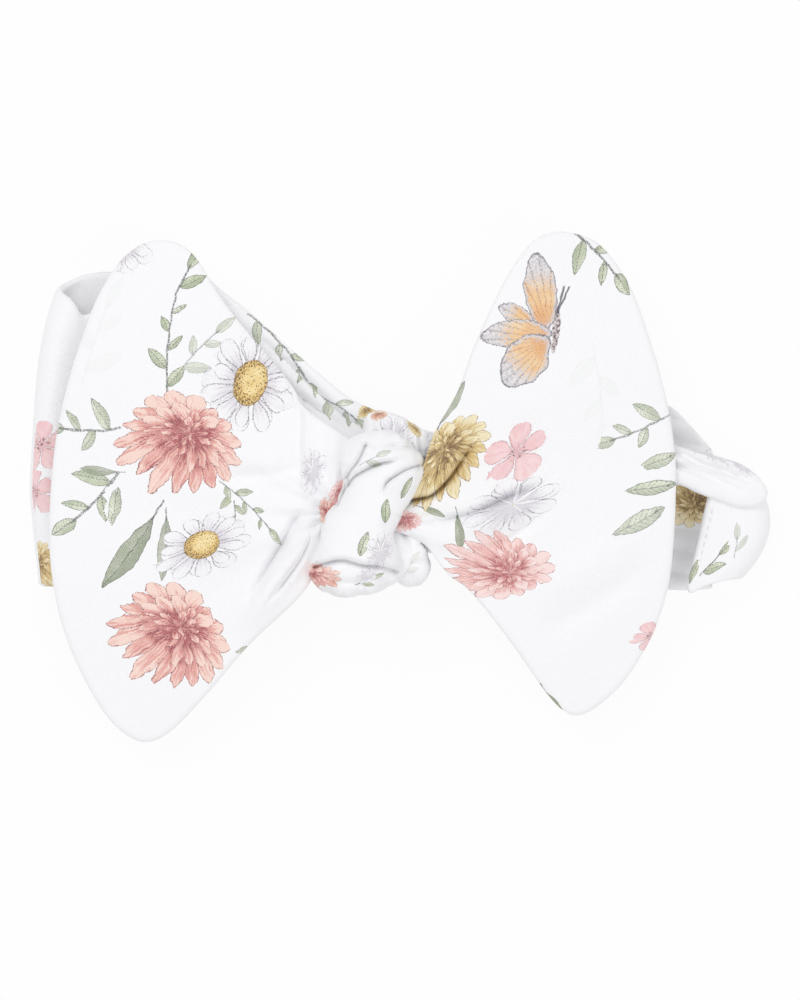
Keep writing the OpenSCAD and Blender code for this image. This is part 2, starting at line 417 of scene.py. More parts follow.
class Graph:
    """Builds a material's nodes from sums written as Python."""

    def __init__(self, material):
        self.tree = material.node_tree

    def node(self, kind, **settings):
        made = self.tree.nodes.new("ShaderNode" + kind)
        for name, value in settings.items():
            setattr(made, name, value)
        return made

    def feed(self, slot, value):
        if isinstance(value, Field):
            self.tree.links.new(value.socket, slot)
        else:
            slot.default_value = value

    def math(self, operation, *values, clamp=False):
        made = self.node("Math", operation=operation, use_clamp=clamp)
        for slot, value in zip(made.inputs, values):
            self.feed(slot, value)
        return Field(self, made.outputs[0])

    def ramp(self, low, high, x):
        """0 below low, 1 above high and smooth between. low may be above high."""
        made = self.node("MapRange", interpolation_type="SMOOTHSTEP")
        for slot, value in zip(made.inputs, (x, low, high, 0.0, 1.0)):
            self.feed(slot, value)
        return Field(self, made.outputs[0])

    def blend(self, a, b, share):
        """Number between a and b."""
        made = self.node("Mix", data_type="FLOAT")
        for slot, value in zip((made.inputs[0], made.inputs[2], made.inputs[3]), (share, a, b)):
            self.feed(slot, value)
        return Field(self, made.outputs[0])

    def colour(self, a, b, share):
        """Colour between a and b, each worked out before or a 0 to 255 display colour."""
        made = self.node("Mix", data_type="RGBA")
        a, b = [c if isinstance(c, Field) else linear(*c) for c in (a, b)]
        for slot, value in zip((made.inputs[0], made.inputs[6], made.inputs[7]), (share, a, b)):
            self.feed(slot, value)
        return Field(self, made.outputs[2])

    def parts(self, vector):
        made = self.node("SeparateXYZ")
        self.tree.links.new(vector, made.inputs[0])
        return [Field(self, out) for out in made.outputs]

    def vector(self, x, y, z=0.0):
        made = self.node("CombineXYZ")
        for slot, value in zip(made.inputs, (x, y, z)):
            self.feed(slot, value)
        return Field(self, made.outputs[0])

    def attribute(self, name):
        return self.node("Attribute", attribute_type="GEOMETRY", attribute_name=name).outputs["Vector"]

    def noise(self, vector, scale, detail=2.0):
        made = self.node("TexNoise")
        self.feed(made.inputs["Vector"], vector)
        made.inputs["Scale"].default_value = scale
        made.inputs["Detail"].default_value = detail
        return Field(self, made.outputs["Fac"])

    def dice(self, x, y):
        """A random number from 0 to 1 for each pair of whole numbers."""
        made = self.node("TexWhiteNoise", noise_dimensions="2D")
        self.feed(made.inputs["Vector"], self.vector(x, y))
        return Field(self, made.outputs["Value"])

    def floor(self, x):
        return self.math("FLOOR", x)

    def slot(self, x):
        """The whole number below x, and how far x is from the middle of its slot."""
        which = self.floor(x)
        return which, x - which - 0.5

    def size(self, x):
        return self.math("ABSOLUTE", x)

    def clip(self, x):
        return self.math("ADD", x, 0.0, clamp=True)

    def root(self, x):
        return self.math("SQRT", self.math("MAXIMUM", x, 0.0))

    def least(self, a, b):
        return self.math("MINIMUM", a, b)

    def most(self, a, b):
        return self.math("MAXIMUM", a, b)

    def length(self, x, y):
        return self.root(x * x + y * y)

    def turn(self, x, y):
        """Angle round the middle, in turns."""
        return self.math("ARCTAN2", y, x) / TAU + 0.5


# ---- Printed motifs, each drawn over the colour under it ----------------------------------

INK = (112, 104, 118)
WHITE = (251, 251, 253)


def unsteady(g, kind, wash, across, fine, up):
    """Place in the nearest motif of a kind, drawn by an unsteady hand, and the motif's tone."""
    x, y, tone = g.parts(g.attribute(kind))
    return x + (wash - 0.5) * across, y + (fine - 0.5) * up, tone


def draw_bloom(g, under, wash, fine, ink):
    """Full flower of overlapping petals in rings, coral, ochre or rose by its tone. It is seen from a
    side, so its heart lies towards its upper right."""
    x, y, tone = unsteady(g, "bloom", wash, 0.15, fine, 0.06)
    ochre = g.ramp(0.5, 1.0, tone)
    rose = g.ramp(1.5, 2.0, tone)
    lean = g.clip(1.0 - g.length(x, y))
    x = x - lean * 0.26
    y = y - lean * 0.48
    r = g.length(x, y)
    turn = g.turn(x, y)
    rings = 4
    reach = rings * r ** 0.80
    ring = g.floor(reach)

    def petal(k):
        across = turn * (k * 3.0 + 8.0) + g.dice(k, 3.0)
        which, side = g.slot(across)
        chance = g.dice(which, k)
        depth = k + 1.0 - chance * 0.62 - reach
        edge = 0.53 * g.clip(depth * 1.8 + 0.02) ** (0.42 + 0.4 * chance) - g.size(side)
        return which, side, chance, depth, edge

    near, far = petal(ring), petal(ring + 1.0)
    covered = g.ramp(-0.01, 0.01, g.least(near[4], near[3]))
    which, side, chance, depth, edge = [g.blend(b, a, covered) for a, b in zip(near, far)]
    last = g.math("COMPARE", ring, rings - 1.0, 0.1)
    shown = g.most(g.math("LESS_THAN", ring, rings - 1.5), last * covered)
    streaks = g.noise(g.vector(side * 10.0 + which * 5.3, depth * 1.1, chance * 20.0), 1.0, 1.0)

    def dye(coral, gold, pale):
        return g.colour(g.colour(coral, gold, ochre), pale, rose)

    light = dye((252, 220, 208), (246, 234, 196), (252, 226, 222))
    middle = dye((232, 166, 156), (220, 190, 124), (238, 186, 180))
    dark = dye((168, 72, 80), (124, 88, 36), (186, 96, 100))
    heart = g.ramp(0.62, 0.12, r)
    outer = g.ramp(2.4, 3.4, reach)
    shade = g.clip(depth * 0.36 + (streaks - 0.5) * (1.6 + heart * 1.2) + (chance - 0.5) * 0.6 + heart * 0.55
                   + (wash - 0.5) * 0.8 + 0.14 - outer * 0.12)
    colour = g.colour(light, middle, g.ramp(0.05, 0.55, shade))
    colour = g.colour(colour, dark, g.ramp(0.50, 1.10, shade))
    line = g.ramp(0.085, 0.02, edge) * (0.25 + 0.75 * ink)
    root = g.ramp(0.62, 0.95, depth) * g.ramp(0.16, 0.45, g.size(side)) * 0.65
    colour = g.colour(colour, dye((136, 66, 74), (112, 82, 44), (160, 88, 94)), g.most(line, root * heart))
    return g.colour(under, colour, shown * g.ramp(1.05, 1.0, r) * 0.97)


def draw_daisy(g, under, wash, fine, ink):
    """White flower with inked petals and a dotted yellow eye. A tone of 1 or more hides its eye."""
    x, y, tone = unsteady(g, "daisy", wash, 0.10, fine, 0.05)
    turned = g.math("GREATER_THAN", tone, 0.99)
    r = g.length(x, y)
    turn = g.turn(x, y)
    colour = under
    for layer, (facing, away) in enumerate(((9.0, 7.0), (11.0, 8.0))):
        count = g.blend(facing, away, turned)
        across = turn * count + tone + 0.4 * layer
        which, side = g.slot(across)
        chance = g.dice(which, tone * 7.0 + layer)
        tip = 1.0 - chance * 0.22
        along = g.clip(r / tip)
        half = 0.45 * g.root(1.0 - along ** 6.0) * (0.66 + 0.34 * g.ramp(0.3, 0.75, along))
        edge = (half - g.size(side)) * r * TAU / count
        shown = g.ramp(0.0, 0.006, edge) * g.ramp(1.0, 0.99, r / tip)
        tint = g.colour((249, 248, 251), (222, 217, 224), g.ramp(0.80, 0.3, along) * 0.8)
        tint = g.colour(tint, (206, 200, 212), g.ramp(0.5, 0.85, wash) * 0.4)
        veins = g.ramp(0.05, 0.0, g.size(g.size(side) - 0.15)) * g.ramp(0.9, 0.55, along) * 0.35
        line = g.ramp(0.036, 0.008, edge) * (0.15 + 0.75 * ink)
        line = line * g.blend(1.0, g.ramp(0.25, 0.6, along), turned)
        inked = g.colour(tint, INK, g.most(line, veins * ink))
        colour = g.colour(colour, inked, shown)
    eye = g.length(x / 0.34, y / 0.42) * (1.0 + turned * 20.0)
    grains = g.noise(g.vector(x, y, tone), 30.0, 1.0)
    rim = g.ramp(0.35, 1.0, eye - x * 0.6 - y * 0.3)
    gold = g.colour((251, 228, 168), (234, 198, 122), g.ramp(0.35, 0.80, wash + rim * 0.35))
    dots = g.ramp(0.59, 0.66, grains + rim * 0.13)
    gold = g.colour(gold, (112, 88, 62), dots * 0.9)
    gold = g.colour(gold, (120, 98, 84), g.ramp(0.92, 1.0, eye) * (0.3 + 0.5 * ink))
    return g.colour(colour, gold, g.ramp(1.03, 0.97, eye))


def draw_posy(g, under, wash, fine, ink):
    """Small five-petalled pink flower."""
    x, y, tone = unsteady(g, "posy", wash, 0.20, fine, 0.12)
    r = g.length(x, y)
    across = g.turn(x, y) * 5.0 + tone
    which, side = g.slot(across)
    chance = g.dice(which, tone)
    tip = 1.0 - chance * 0.30
    along = g.clip(r / tip)
    half = 0.505 * g.root(1.0 - along ** 4.0)
    edge = (half - g.size(side)) * g.most(r, 0.2) * (TAU / 5)
    shown = g.ramp(0.0, 0.03, edge) * g.ramp(1.0, 0.97, r / tip)
    streak = g.noise(g.vector(side * 8.0 + which * 3.0, r * 2.0), 1.0, 1.0)
    tint = g.colour((253, 226, 226), (244, 200, 203), g.clip(streak * 1.8 - 0.5 + chance * 0.4))
    tint = g.colour(tint, (224, 168, 174), g.ramp(0.40, 0.05, along) * 0.7)
    tint = g.colour(tint, (176, 124, 134), g.ramp(0.07, 0.01, edge) * (0.15 + 0.75 * ink))
    colour = g.colour(under, tint, shown)
    dots = g.ramp(0.58, 0.64, g.noise(g.vector(x, y, tone), 14.0, 1.0)) * g.ramp(0.34, 0.12, r)
    return g.colour(colour, (128, 100, 84), dots * 0.9)


# Wings of the butterfly, those behind first: middle, half length, half width and lie in degrees
WINGS = (
    (-0.14, 0.06, 0.30, 0.15, 150), (0.20, 0.42, 0.60, 0.235, 100), (-0.14, -0.20, 0.54, 0.20, 186),
    (0.02, -0.58, 0.48, 0.30, 230),
)
WINGS_MEET = (0.40, -0.24)


def draw_butterfly(g, under, wash, fine, ink):
    """Plain butterfly seen from its side, with orange wings that turn grey towards their tips."""
    x, y, _ = unsteady(g, "butterfly", wash, 0.10, fine, 0.05)
    colour = under
    foot_x, foot_y = x - WINGS_MEET[0], y - WINGS_MEET[1]
    foot = g.length(foot_x, foot_y)
    fan = g.turn(foot_x, foot_y)
    for middle_x, middle_y, long, wide, angle in WINGS:
        c, s = math.cos(math.radians(angle)), math.sin(math.radians(angle))
        u = (x - middle_x) * c + (y - middle_y) * s
        v = (y - middle_y) * c - (x - middle_x) * s
        waist = 0.84 + 0.22 * g.math("SINE", g.clip(u / (2 * long) + 0.5) * math.pi)
        scallop = 0.035 * g.math("SINE", g.turn(u, v) * (TAU * 7.0))
        rim = g.length(u / long, v / (wide * waist)) + scallop
        far = g.clip(u / (2 * long) + 0.5)
        orange = g.colour((248, 220, 178), (238, 178, 116), g.clip(wash * 1.8 - 0.5))
        orange = g.colour(orange, (222, 146, 92), g.ramp(0.40, 0.02, far) * 0.7)
        grey = g.colour((242, 240, 242), (190, 186, 192), g.clip(fine * 2.0 - 0.6))
        tip = g.ramp(0.46, 0.80, far + (fine - 0.5) * 0.6)
        tint = g.colour(orange, grey, g.most(g.ramp(0.70, 0.95, rim + (fine - 0.5) * 0.5), tip))
        ribs = g.math("FRACT", fan * 44.0) - 0.5
        ribbed = g.ramp(0.16, 0.03, g.size(ribs)) * g.ramp(0.15, 0.4, foot) * ink * 0.6
        tint = g.colour(tint, (140, 116, 108), ribbed)
        tint = g.colour(tint, (96, 90, 102), g.ramp(0.91, 0.98, rim) * (0.35 + 0.6 * ink))
        colour = g.colour(colour, tint, g.ramp(1.02, 0.98, rim))
    lie_x = x - 0.46 - (y + 0.1) * 0.06
    body = g.length(lie_x / 0.055, (y + 0.14) / 0.30)
    furred = g.colour((232, 220, 218), (112, 100, 108), g.ramp(0.35, 0.65, fine))
    colour = g.colour(colour, furred, g.ramp(1.15, 0.85, body))
    for spread in (0.16, 0.36):
        feeler = g.size(x - 0.47 - (y - 0.12) * spread)
        drawn = g.ramp(0.024, 0.008, feeler) * g.ramp(0.10, 0.14, y) * g.ramp(0.56, 0.52, y)
        colour = g.colour(colour, (96, 92, 102), drawn * 0.9)
    return colour


def draw_leaf(g, under, along, across, half, share, wash, ink, cover, deep=0.0):
    """Leaf whose share runs from 0 at its foot to 1 at its tip. cover is its strength, and
    deep makes it greyer."""
    edge = half - g.size(across)
    shown = g.ramp(0.0, 0.10, edge) * g.ramp(0.0, 0.02, share) * g.ramp(1.0, 0.98, share)
    tint = g.colour((236, 240, 220), (188, 200, 160), g.clip(wash * 2.4 - 0.75))
    tint = g.colour(tint, (150, 164, 128), g.ramp(-0.4, 0.9, across) * 0.5)
    tint = g.colour(tint, (164, 172, 150), g.ramp(0.35, 0.0, share) * 0.5)
    tint = g.colour(tint, (146, 152, 140), deep)
    ribs = g.math("FRACT", along * 1.3 + g.size(across) * 1.1) - 0.5
    tint = g.colour(tint, (110, 120, 106), g.ramp(0.24, 0.06, g.size(ribs)) * 0.7 * ink)
    line = g.most(g.ramp(0.32, 0.10, edge), g.ramp(0.17, 0.05, g.size(across)) * 0.8)
    tint = g.colour(tint, (78, 86, 80), line * (0.25 + 0.75 * ink))
    return g.colour(under, tint, shown * cover)


def draw_sprig(g, under, wash, fine, ink):
    """Stem with leaves in turn on its two sides. Its tone's whole part is how many pitches it has and
    its fraction fades it."""
    x, y, tone = g.parts(g.attribute("sprig"))
    pitches = g.floor(tone)
    cover = 1.0 - (tone - pitches)
    y = y + (wash - 0.5) * 1.1 + x * x * 0.006 - x * 0.06
    x = x + (fine - 0.5) * 0.4
    end = pitches * SPRIG_PITCH
    lower = g.math("LESS_THAN", y, 0.0)
    height = g.size(y)
    place = x / SPRIG_PITCH + lower * 0.5 + 0.15
    k = g.floor(place)
    foot = (k - lower * 0.5 - 0.15) * SPRIG_PITCH
    chance = g.dice(k, lower * 3.0 + pitches)
    grown = 1.15 - 0.30 * g.clip(foot / end) - 0.45 * chance
    lie = 0.95 - 0.45 * g.dice(k, lower * 5.0 + pitches)
    c, s = g.math("COSINE", lie), g.math("SINE", lie)
    along = (x - foot) * c + height * s
    across = height * c - (x - foot) * s
    share = along / (8.2 * grown)
    half = 1.7 * grown * g.math("SINE", g.clip(share) ** 0.85 * math.pi) ** 0.8
    there = g.math("GREATER_THAN", foot, -0.5) * g.math("LESS_THAN", foot, end - 3.0)
    colour = draw_leaf(g, under, along, across, half, share, wash, ink, there * cover)
    share = (x - end + 1.0) / 7.5
    half = 1.5 * g.math("SINE", g.clip(share) ** 0.85 * math.pi) ** 0.8
    colour = draw_leaf(g, colour, x, y, half, share, wash, ink, cover)
    stem = g.ramp(0.34, 0.18, height) * g.ramp(-0.2, 0.2, x) * g.ramp(end + 1.0, end, x)
    return g.colour(colour, (100, 104, 100), stem * cover * (0.35 + 0.6 * ink))


def draw_blade(g, under, wash, fine, ink):
    """Long grey-green leaf on a short stalk."""
    x, y, tone = g.parts(g.attribute("blade"))
    y = y + (wash - 0.5) * 1.4 + x * x * 0.004 - x * 0.08
    share = (x - 4.0) / (BLADE_LENGTH - 4.0)
    half = 2.7 * g.math("SINE", g.clip(share) ** 1.1 * math.pi) ** 0.9
    colour = draw_leaf(g, under, x * 1.6, y, half, share, wash, ink, 1.0 - tone, 0.5)
    stalk = g.ramp(0.36, 0.18, g.size(y)) * g.ramp(-0.2, 0.2, x) * g.ramp(6.0, 5.0, x)
    return g.colour(colour, (104, 108, 104), stalk * (1.0 - tone) * (0.4 + 0.5 * ink))


WALE, COURSE = 0.66, 0.58   # pitch of the knitted stitches across and along
TWIST = 0.5                 # pitch of the thread's twist


def new_material(name, settings):
    """A material, the graph that builds it and its shader, with plain settings."""
    material = bpy.data.materials.new(name)
    material.use_nodes = True
    g = Graph(material)
    shader = g.tree.nodes["Principled BSDF"]
    for socket, value in settings.items():
        shader.inputs[socket].default_value = value
    return material, g, shader


def emboss(g, shader, height, strength, depth):
    """Raises the shading by a height. depth is in millimetres."""
    bump = g.node("Bump")
    bump.inputs["Strength"].default_value = strength
    bump.inputs["Distance"].default_value = depth * MM
    g.feed(bump.inputs["Height"], height)
    g.tree.links.new(bump.outputs[0], shader.inputs["Normal"])


def printed_jersey():
    """White cotton jersey with a scattered flower print."""
    material, g, shader = new_material("printed_jersey", {
        "Roughness": 0.86, "Sheen Weight": 0.12, "Sheen Roughness": 0.5, "Specular IOR Level": 0.2,
    })
    u, v, side = g.parts(g.attribute("cloth"))
    wash = g.noise(g.vector(u, v, side), 0.30, 2.0)
    fine = g.noise(g.vector(u, v, side), 1.6, 1.0)
    speck = g.noise(g.vector(u, v, side), 5.0, 1.0)
    ink = g.ramp(0.38, 0.54, g.noise(g.vector(u, v, side), 2.6, 1.0))
    colour = WHITE
    for draw in (draw_sprig, draw_blade, draw_daisy, draw_bloom, draw_posy, draw_butterfly):
        colour = draw(g, colour, wash, fine, ink)
    colour = g.colour(colour, WHITE, g.ramp(0.52, 0.75, speck) * 0.45)
    g.feed(shader.inputs["Base Color"], colour)
    wales = g.math("SINE", u * (TAU / WALE) + (speck - 0.5) * 3.0)
    courses = g.math("SINE", v * (TAU / COURSE) + (speck - 0.5) * 2.0)
    emboss(g, shader, wales * 0.25 + courses * wales * 0.4 + speck * 1.1, 0.3, 0.10)
    return material


def thread_material():
    """Matt polyester thread with its twist, with painted shade: darker in the twist's grooves and lighter on
    its crests.
    """
    material, g, shader = new_material("thread", {"Roughness": 0.7})
    x, y, z = g.parts(g.node("TexCoord").outputs["Object"])
    twist = g.math("SINE", (x + y * 1.3 + z) * (TAU / (TWIST * MM)))
    # painted shade: the colour darkens where the twist's bump is low and lightens where it is high
    g.feed(shader.inputs["Base Color"], g.colour((226, 225, 230), (244, 243, 247), twist * 0.5 + 0.5))
    emboss(g, shader, twist, 0.5, 0.05)
    return material


# ---- Ears ---------------------------------------------------------------------------------

EAR_THICK = 2.5
EAR_RIM = 1.4       # radius that the rim is rounded over
EAR_SPACING = 0.62
EAR_SLOPE = math.tan(math.radians(6.2))
EAR_CAMBER = 400.0
CAMBER_Y = 10.0

# From the lower corner of the root round the tip to the upper corner, in millimetres from the
# middle of the line where the ear begins
LEFT_OUTLINE = [
    (8, -13.5), (5.5, -18), (1, -25.5), (-11, -37), (-20, -47.5), (-28.5, -56.5), (-34, -59.8),
    (-39, -59), (-45, -53.5), (-51, -43), (-55.5, -31), (-57.8, -17), (-57.8, -3), (-56.5, 11), (-54, 23),
    (-50.5, 34.5), (-46, 46), (-40, 54.5), (-33, 58), (-25, 55.5), (-17.3, 44), (-11, 36), (-5, 29),
    (-0.4, 23), (1.7, 19), (7, 15), (13, 10.8), (15, 7.5), (12.5, -1), (9.5, -7.5),
]
RIGHT_OUTLINE = [
    (-14, -8.5), (-13.2, -9.6), (-7.5, -12), (-5, -13.6), (-3.2, -15.7), (0.3, -20.4), (5.7, -24.6),
    (14.8, -36), (23, -47.7), (27.5, -52.5), (31.3, -53.6), (36, -51.2), (42, -45.4), (47.8, -36),
    (51.3, -26.6), (53, -17), (53.9, 1.6), (53, 13.4), (50.6, 25), (47.8, 34.5), (43, 47.5), (36, 57),
    (29, 59.8), (24, 59.6), (19.5, 57), (13.7, 48.6), (6.6, 33.4), (2.6, 22.5), (-3, 12.5), (-5.6, 5),
    (-8.8, -0.8), (-10.8, -3.8),
]


def ear_surface(points, hinge):
    """Height of an ear's middle, sloping down outward and drooping above and below."""
    out = np.abs(points[:, 0] - hinge[0])
    return root_z - out * EAR_SLOPE - (points[:, 1] - CAMBER_Y) ** 2 / (2 * EAR_CAMBER)


def pleats(points, origin, count, height, fade, phase=0.0):
    """Pleats that fan out of a point and fade with distance from it."""
    away = points - np.array(origin)
    distance = np.hypot(away[:, 0], away[:, 1])
    angle = np.arctan2(away[:, 1], away[:, 0])
    return height * np.sin(angle * count + phase) * np.exp(-distance / fade) * smooth(0, 6, distance)


def left_ear():
    """Left ear, with its neck drawn into pleats and two rolled folds below."""
    origin = np.array([left_ear_x, 0.0])
    outline = curve_through(np.array(LEFT_OUTLINE) + origin, 0.8, closed=True)
    roll_fold = [(2, -4), (-3, -12.5), (-9, -23), (-13, -29)]
    rim_fold = [(5, -8), (1, -17), (-8, -29)]
    neck_fold = [(3, -1), (1.5, 8), (1.8, 20)]
    sharp = [np.array(line) + origin for line in (roll_fold, rim_fold, neck_fold)]
    points, triangles, distance = tile(outline, EAR_SPACING, sharp)
    p = points - origin
    z = ear_surface(points, left_hinge)
    z += pleats(p, (9, -6), 13, 1.3, 16)
    z += ridge(p, [(7, -9), (0, -17), (-8, -27), (-14, -36)], 3.2, 2.6, 0.15, 0.4)
    z += ridge(p, roll_fold, 0.9, -3.4, 0.2, 0.4)
    z += ridge(p, rim_fold, 0.6, -2.6, 0.2, 0.4)
    z += lip(p, neck_fold, 7, -1.4, 0.4, 0.1, 0.1)
    z += ridge(p, neck_fold, 0.6, -0.9, 0.2, 0.2)
    z += ridge(p, [(2, -1.5), (8, -6.5)], 0.8, -1.6, 0.2, 0.1)
    z += ridge(p, [(1, 4), (-10, 2.5), (-22, 1.5)], 1.6, -1.0, 0.1, 0.5)
    z += ridge(p, [(0, 6), (-12, 7), (-30, 12)], 4.0, 1.0, 0.2, 0.5)
    z += ridge(p, [(-3, -6), (-18, -16), (-36, -22)], 4.5, 1.2, 0.2, 0.6)
    z += ridge(p, [(-10, -4), (-26, -6), (-44, -4)], 5.5, -0.9, 0.3, 0.5)
    z += 0.5 * np.sin(p[:, 1] / 9 + p[:, 0] / 21) * smooth(10, 40, -p[:, 0])
    half = EAR_THICK / 2 * round_rim(distance, EAR_RIM)
    piece = closed_plate("left_ear_cloth", points, triangles, distance, z + half, z - half)
    print_from_above(piece, origin, {
        "bloom": [
            (-28.2, 8.5, 16.5, 14.2, -4, 0.1), (-30.8, -36.4, 16, 14.4, -16, 0),
            (9.4, -7, 5.8, 3.6, 125, 0.2), (11.2, -1.6, 5, 3.2, 55, 2),
        ],
        "daisy": [
            (-10.6, 24.4, 11.5, 13.2, -18, 0.2), (-22, -13.5, 13, 7.5, 22, 0.7),
            (-41, 57, 8, 8, 20, 1.9), (4, 4, 6.2, 3.4, 82, 1.2),
        ],
        "sprig": [
            (-30, 20.5, 0.95, 0.95, 91, 3), (-28.5, 44.1, 0.95, 0.95, 64, 1),
            (-28, 26, 0.8, 0.8, 50, 2.4), (-41, 13.8, 0.78, 1.15, 184, 2.15),
            (-41.5, 3.5, 0.88, 1.3, 230, 2.1), (-42, -1.2, 1.3, 1, 258, 0.15),
            (-18, 1.5, 0.62, 0.62, -38, 3.1), (-15, 0, 0.55, 0.55, -82, 2.05),
            (-50, 24, 1.1, 1.1, 75, 2.95), (-9, -36, 0.6, 0.6, 235, 1.2),
        ],
        "blade": [
            (-40, 3.5, 0.42, 0.42, 176, 0.1), (-31, -3, 0.98, 0.98, 236, 0),
            (-30.5, -4, 0.7, 0.7, 268, 0.1),
        ],
    }, {
        "bloom": [(-30, 20, 15, 12, 80, 1.2)],
        "daisy": [(-22, -20, 12, 12, 10, 0.4)],
        "sprig": [(-36, -4, 1.1, 1.1, 170, 3), (-30, -34, 1, 1, 230, 2)],
    })
    return piece


def right_ear():
    """Right ear, with its lower root tucked over the knot."""
    origin = np.array([right_ear_x, 0.0])
    outline = curve_through(np.array(RIGHT_OUTLINE) + origin, 0.8, closed=True)
    crease = [(-12, -5.6), (-8.7, -3.2), (-4, -2.1), (-1, 0.3), (2, 4), (8, 13.5)]
    tuck = [(-5, -8), (5, -6), (17, -1), (26, 2)]
    sharp = [np.array(line) + origin for line in (crease, tuck)]
    points, triangles, distance = tile(outline, EAR_SPACING, sharp)
    p = points - origin
    z = ear_surface(points, right_hinge)
    from_tip = np.hypot(p[:, 0] + 14, p[:, 1] + 9)
    z += 4.0 * np.exp(-(from_tip / 11) ** 2) * smooth(-1, 4, from_tip)
    z += pleats(p, (-14, -8), 15, 1.1, 17, 0.6)
    z += ridge(p, crease, 0.42, -5.6, 0.15, 0.55)
    z += ridge(p, crease, 2.2, -1.6, 0.15, 0.5)
    z += lip(p, crease, 5, 2.6, 0.25, 0.1, 0.5)
    z += ridge(p, [(-8, 2), (-2, 8), (5, 20)], 3.2, 1.5, 0.2, 0.6)
    z += ridge(p, tuck, 0.7, -2.8, 0.2, 0.4)
    z += lip(p, tuck, 5, 1.6, 0.4, 0.2, 0.4)
    z += ridge(p, [(-3, -11), (8, -9), (18, -4), (30, 3)], 2.6, 1.5, 0.2, 0.5)
    z += ridge(p, [(4, -16), (14, -13), (26, -4)], 1.2, -1.2, 0.2, 0.5)
    z += ridge(p, [(20, -36), (36, -26.5), (50, -17)], 3.0, -0.9, 0.3, 0.3)
    z += ridge(p, [(16, -28), (34, -18), (50, -8)], 4.0, 0.9, 0.3, 0.3)
    z += ridge(p, [(8, 12), (22, 22), (40, 26)], 5.0, 0.8, 0.3, 0.5)
    z += 0.45 * np.sin(p[:, 1] / 8 - p[:, 0] / 17) * smooth(10, 40, p[:, 0])
    half = EAR_THICK / 2 * round_rim(distance, EAR_RIM) * (0.75 + 0.25 * smooth(0, 14, from_tip))
    piece = closed_plate("right_ear_cloth", points, triangles, distance, z + half, z - half)
    print_from_above(piece, origin, {
        "bloom": [
            (0.2, 5.2, 14.5, 9, 52, 1), (10.2, -17.8, 8.8, 15.4, -97, 2), (-10.2, -8.4, 4.8, 3, 10, 2),
        ],
        "daisy": [(15.5, -4, 13.5, 6.5, 24, 1.15)],
        "posy": [(16.3, 8.2, 11.5, 6.6, 44, 0.3), (48.5, -35, 6.5, 4, 10, 0.6)],
        "butterfly": [(18.6, 39, 15.6, 16, -3, 0)],
        "sprig": [
            (30, 59.8, 0.8, 1.15, -42, 2), (52.8, 17.2, 0.85, 0.95, 207, 2.2),
            (52.8, 7.4, 1.4, 1.05, 201, 0.2), (52.4, 0.6, 1.7, 1.2, 188, 0.15),
            (49.6, -5.6, 1.9, 1.4, 207, 0.25), (34, 34, 1.1, 1.1, -80, 2.95),
        ],
        "blade": [
            (-2.6, 12.5, 0.55, 0.55, 62, 0.1), (2, -4.5, 0.42, 0.42, -82, 0),
            (-7.5, -4.2, 0.3, 0.3, -20, 0), (22, -46, 0.5, 0.5, -60, 0),
        ],
    }, {
        "bloom": [(28, -18, 15, 13, 200, 0.3)],
        "daisy": [(24, 22, 12.5, 12.5, 40, 0.6)],
        "sprig": [(36, 0, 1.1, 1.1, 80, 3), (14, -4, 1, 1, 150, 2)],
    })
    return piece


# ---- Loop ---------------------------------------------------------------------------------

BAND_THICK = 1.9
BAND_RIM = 1.1
BAND_ROWS = 64
FLARE, RIGHT_END, BACK, LEFT_END, FRONT = range(5)   # the band's parts, in the order of its length
FLARE_EDGE = (72.4, -2.4)   # top of the band's sewn end
FLARE_SLANT = 0.235         # how far that end leans out for each millimetre of height
FLARE_START = 68.5          # X where the band's length starts
ROLL_FOOT = -2.6            # upper edge of the right end where it meets the rolled strand
STATION = 1.0               # step along the band

# Lower and upper edge of the band at places across the width
FRONT_LEFT_X = [-84, -82, -80, -77.5, -74.7, -70, -60, -47, -43.5, -35, -23.5, -12, -2]
FRONT_LEFT_HIGH = [48.4, 44.2, 41.6, 40.5, 40.5, 42, 47, 51.5, 47.5, 41, 30.5, 20.6, 16.5]
FRONT_LEFT_LOW = [-23.2, -23.3, -23.4, -23.6, -23.7, -23.7, -22.5, -19, -18, -14, -9, -3, 3]
BACK_X = [-84, -81.8, -77.5, -73, -69.3, -60, -47, -35, -25, -12, 0, 15, 30, 45, 60, 64, 69, 74, 78, 82, 85]
BACK_HIGH = [
    49.6, 50.8, 51.2, 51, 50.6, 50, 47, 37, 28, 17, 12.5, 12, 12.5, 15, 19, 20, 14.5, 8.8, 6.2, 3.8, 1,
]
BACK_LOW = [
    -23.2, -23.4, -23.6, -23.7, -23.8, -23.8, -23.8, -23.5, -21, -17, -15.5, -15.5, -20, -23, -24, -24.3,
    -24.4, -24.0, -23.2, -22.2, -21.2,
]
FLARE_X = [66, 68.5, 71, 75, 79, 82, 85]
FLARE_HIGH = [-2.0, -2.0, -2.0, -2.2, -2.4, -2.6, -2.0]
FLARE_LOW = [-24.4, -24.6, -25.2, -24.6, -23.6, -22.8, -22.0]


